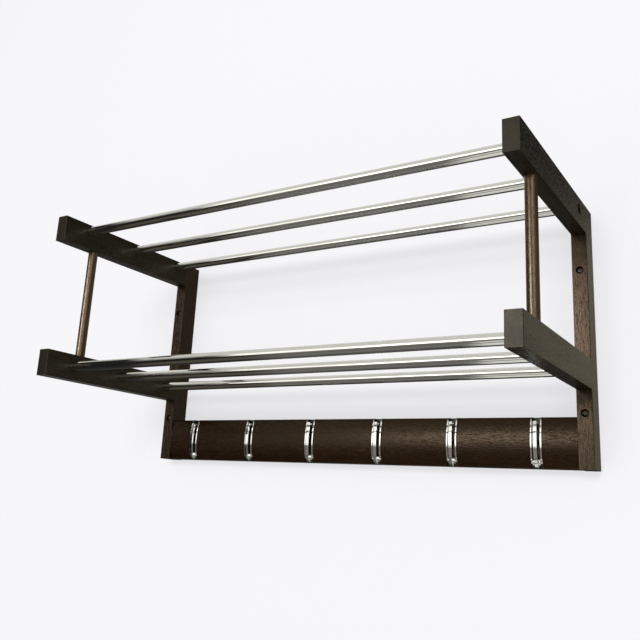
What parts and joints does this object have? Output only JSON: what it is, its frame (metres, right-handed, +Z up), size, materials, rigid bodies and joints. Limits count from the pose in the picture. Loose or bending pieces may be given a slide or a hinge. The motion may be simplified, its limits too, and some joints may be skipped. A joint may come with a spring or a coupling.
{
  "type": "wall-mounted hat and coat rack with fold-away hooks",
  "caption": "Wall rack with dark wooden side frames, two shelves of steel tubes for hats and bags, and a bowed wooden rail below with chrome coat hooks that fold away.",
  "frame": {"origin": "on the wall plane, midway between the side frames, level with the underside of the uprights", "axes": "+X along the rack to its right end as seen from the front, +Y into the wall, +Z up"},
  "size_m": [0.8, 0.346, 0.385],
  "materials": {
    "dark_wood": "dark stained hardwood with a satin lacquer and fine open grain",
    "chrome": "bright polished chrome plate",
    "dark_steel": "dull darkened steel",
    "dowel_wood": "plain beech, hidden in the joints"
  },
  "bodies": {
    "rack": {"left_upright": "dark_wood", "left_upper_arm": "dark_wood", "left_lower_arm": "dark_wood", "left_post": "dark_wood", "right_upright": "dark_wood", "right_upper_arm": "dark_wood", "right_lower_arm": "dark_wood", "right_post": "dark_wood", "hook_rail": "dark_wood", "left_lower_arm_dowel_1": "dowel_wood", "left_lower_arm_dowel_2": "dowel_wood", "left_upper_arm_dowel_1": "dowel_wood", "left_rail_dowel_1": "dowel_wood", "left_rail_dowel_2": "dowel_wood", "right_lower_arm_dowel_1": "dowel_wood", "right_lower_arm_dowel_2": "dowel_wood", "right_upper_arm_dowel_1": "dowel_wood", "right_rail_dowel_1": "dowel_wood", "right_rail_dowel_2": "dowel_wood", "left_lower_wall_screw": "dark_steel", "left_upper_wall_screw": "dark_steel", "left_frame_bolt": "dark_steel", "left_cross_nut": "dark_steel", "right_lower_wall_screw": "dark_steel", "right_upper_wall_screw": "dark_steel", "right_frame_bolt": "dark_steel", "right_cross_nut": "dark_steel", "upper_shelf_tube_1": "chrome", "upper_shelf_tube_2": "chrome", "upper_shelf_tube_3": "chrome", "lower_shelf_tube_1": "chrome", "lower_shelf_tube_2": "chrome", "lower_shelf_tube_3": "chrome", "hook_bracket_1": "chrome", "bracket_screw_1": "chrome", "hook_pin_1": "chrome", "hook_bracket_2": "chrome", "bracket_screw_2": "chrome", "hook_pin_2": "chrome", "hook_bracket_3": "chrome", "bracket_screw_3": "chrome", "hook_pin_3": "chrome", "hook_bracket_4": "chrome", "bracket_screw_4": "chrome", "hook_pin_4": "chrome", "hook_bracket_5": "chrome", "bracket_screw_5": "chrome", "hook_pin_5": "chrome", "hook_bracket_6": "chrome", "bracket_screw_6": "chrome", "hook_pin_6": "chrome"},
    "hook_1": {"hook_1": "chrome"},
    "hook_2": {"hook_2": "chrome"},
    "hook_3": {"hook_3": "chrome"},
    "hook_4": {"hook_4": "chrome"},
    "hook_5": {"hook_5": "chrome"},
    "hook_6": {"hook_6": "chrome"}
  },
  "joints": [
    {"name": "hook_1_fold", "type": "hinge", "parent": "rack", "child": "hook_1", "pos_m": [-0.32, -0.032, 0.009], "axis": [1, 0, 0], "range_deg": [0, 60]},
    {"name": "hook_2_fold", "type": "hinge", "parent": "rack", "child": "hook_2", "pos_m": [-0.192, -0.032, 0.009], "axis": [1, 0, 0], "range_deg": [0, 60]},
    {"name": "hook_3_fold", "type": "hinge", "parent": "rack", "child": "hook_3", "pos_m": [-0.064, -0.032, 0.009], "axis": [1, 0, 0], "range_deg": [0, 60]},
    {"name": "hook_4_fold", "type": "hinge", "parent": "rack", "child": "hook_4", "pos_m": [0.064, -0.032, 0.009], "axis": [1, 0, 0], "range_deg": [0, 60]},
    {"name": "hook_5_fold", "type": "hinge", "parent": "rack", "child": "hook_5", "pos_m": [0.192, -0.032, 0.009], "axis": [1, 0, 0], "range_deg": [0, 60]},
    {"name": "hook_6_fold", "type": "hinge", "parent": "rack", "child": "hook_6", "pos_m": [0.32, -0.032, 0.009], "axis": [1, 0, 0], "range_deg": [0, 60]}
  ]
}
